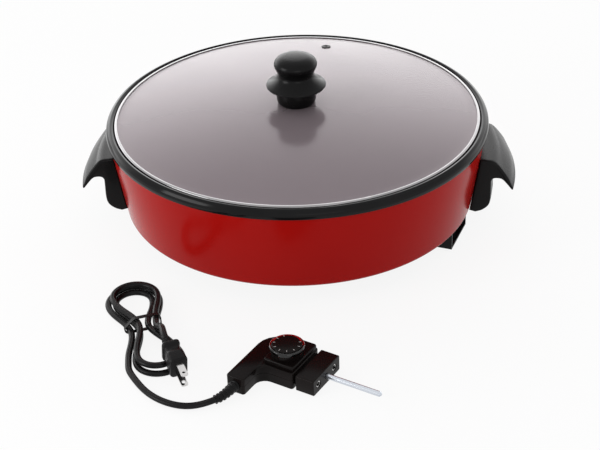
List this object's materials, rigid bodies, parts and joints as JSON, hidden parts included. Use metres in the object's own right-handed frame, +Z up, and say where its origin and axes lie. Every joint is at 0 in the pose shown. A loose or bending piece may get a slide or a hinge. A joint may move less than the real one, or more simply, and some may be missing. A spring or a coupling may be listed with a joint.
{
  "type": "electric skillet",
  "caption": "Round electric skillet with a painted shell, side handles, a lift-off domed glass lid with a knob, and a plug-in heat control with a dial, a probe and a tied mains lead.",
  "frame": {"origin": "middle of everything but the free lead, on the plane that the feet and the heat control stand on", "axes": "+Z up, the handles along X, the heat control in front of the skillet towards -Y"},
  "size_m": [0.4368, 0.5226, 0.1754],
  "materials": {
    "red_paint": "glossy baked enamel on sheet metal",
    "black_coating": "cast aluminium with a satin black non-stick coating",
    "black_plastic": "polished moulded phenolic",
    "black_steel": "heat-proof matte black on steel",
    "bright_steel": "bright rolled or plated steel",
    "smoked_glass": "tempered glass with a light smoke tint",
    "ceramic": "unglazed white ceramic",
    "red_lens": "clear red moulding",
    "black_vinyl": "satin black vinyl"
  },
  "bodies": {
    "skillet": {"cooking_pan": "black_coating", "outer_shell": "red_paint", "bottom_cover": "black_steel", "centre_stud": "bright_steel", "centre_nut": "bright_steel", "foot_1": "black_plastic", "foot_2": "black_plastic", "foot_3": "black_plastic", "foot_4": "black_plastic", "foot_screw_1": "bright_steel", "foot_screw_2": "bright_steel", "foot_screw_3": "bright_steel", "foot_screw_4": "bright_steel", "handle_left": "black_plastic", "handle_right": "black_plastic", "handle_bracket_left": "black_steel", "handle_bracket_right": "black_steel", "handle_screw_left_1": "bright_steel", "handle_screw_left_2": "bright_steel", "handle_screw_right_1": "bright_steel", "handle_screw_right_2": "bright_steel", "heating_element": "black_steel", "terminal_pin_1": "bright_steel", "terminal_pin_2": "bright_steel", "terminal_bead_1": "ceramic", "terminal_bead_2": "ceramic", "probe_sleeve": "black_steel", "socket_guard": "black_plastic", "guard_screw_1": "bright_steel", "guard_screw_2": "bright_steel"},
    "lid": {"lid_glass": "smoked_glass", "lid_band": "bright_steel", "vent_grommet": "bright_steel", "knob_grip": "black_plastic", "knob_base": "black_plastic", "knob_washer": "black_vinyl", "knob_screw": "bright_steel"},
    "heat_control": {"case_lower": "black_plastic", "case_upper": "black_plastic", "case_screw_1": "bright_steel", "case_screw_2": "bright_steel", "case_screw_3": "bright_steel", "connector_block": "black_plastic", "contact_sleeve_1": "bright_steel", "contact_sleeve_2": "bright_steel", "probe_rod": "bright_steel", "thermostat_frame": "bright_steel", "pilot_lamp": "red_lens", "strain_relief": "black_vinyl", "cord_lead": "black_vinyl", "cord_hank": "black_vinyl", "cord_tail": "black_vinyl", "cord_tie": "black_vinyl", "plug_body": "black_vinyl", "plug_blade_1": "bright_steel", "plug_blade_2": "bright_steel"},
    "dial": {"dial_face": "black_plastic", "dial_skirt": "red_lens", "dial_shaft": "bright_steel"}
  },
  "joints": [
    {"name": "lid_lift", "type": "slide", "parent": "skillet", "child": "lid", "axis": [0, 0, 1], "range_m": [0, 0.15]},
    {"name": "control_lift", "type": "slide", "parent": "skillet", "child": "heat_control", "axis": [0, 0, 1], "range_m": [0, 0.19]},
    {"name": "dial_turn", "type": "hinge", "parent": "heat_control", "child": "dial", "pos_m": [0.0042, -0.20604, 0.0259], "axis": [0, 0, 1], "range_deg": [-285, 0]}
  ]
}
